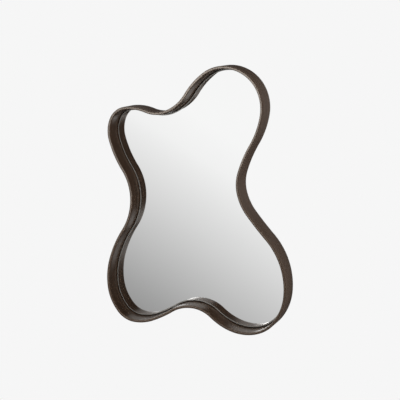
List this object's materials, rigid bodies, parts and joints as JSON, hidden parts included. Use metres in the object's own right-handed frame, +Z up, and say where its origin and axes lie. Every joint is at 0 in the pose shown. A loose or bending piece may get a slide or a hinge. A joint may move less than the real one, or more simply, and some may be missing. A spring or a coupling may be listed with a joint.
{
  "type": "irregular shaped wall mirror",
  "caption": "Wall mirror in a deep bent-wood hoop of free-form outline, with the glass set back in it and folding rings behind for hanging.",
  "frame": {"origin": "on the wall plane, behind the middle of the mirror's outline", "axes": "+Z up, +Y from the mirror into the wall, +X to the right as seen from the front"},
  "size_m": [0.5586, 0.062, 0.7594],
  "materials": {
    "stained_wood": "dark brown stained bent wood under satin lacquer",
    "mirror_glass": "silvered float glass with a ground arris",
    "safety_film": "pale grey backing film",
    "foam_tape": "white double-sided foam",
    "back_board": "black-faced fibre board",
    "zinc_steel": "zinc-plated sheet steel",
    "screw_steel": "zinc-plated screws"
  },
  "bodies": {
    "mirror": {"frame_hoop": "stained_wood", "mirror_glass": "mirror_glass", "safety_film": "safety_film", "tape_left_low": "foam_tape", "tape_left_high": "foam_tape", "tape_inner_left": "foam_tape", "tape_middle": "foam_tape", "tape_inner_right": "foam_tape", "tape_right_low": "foam_tape", "tape_right_high": "foam_tape", "back_board": "back_board", "angle_clip_neck": "zinc_steel", "angle_clip_crown": "zinc_steel", "angle_clip_ear_side": "zinc_steel", "angle_clip_left_hip": "zinc_steel", "angle_clip_left_toe": "zinc_steel", "angle_clip_right_hip": "zinc_steel", "clip_screws_to_hoop": "screw_steel", "clip_screws_to_board": "screw_steel", "hanger_strap_left": "zinc_steel", "hanger_strap_right": "zinc_steel", "hanger_screws": "screw_steel"},
    "left_ring": {"d_ring_left": "zinc_steel"},
    "right_ring": {"d_ring_right": "zinc_steel"}
  },
  "joints": [
    {"name": "left_ring_hinge", "type": "hinge", "parent": "mirror", "child": "left_ring", "pos_m": [-0.12, -0.0026, 0.15], "axis": [1, 0, 0], "range_deg": [0, 180]},
    {"name": "right_ring_hinge", "type": "hinge", "parent": "mirror", "child": "right_ring", "pos_m": [0.1, -0.0026, 0.15], "axis": [1, 0, 0], "range_deg": [0, 180]}
  ]
}
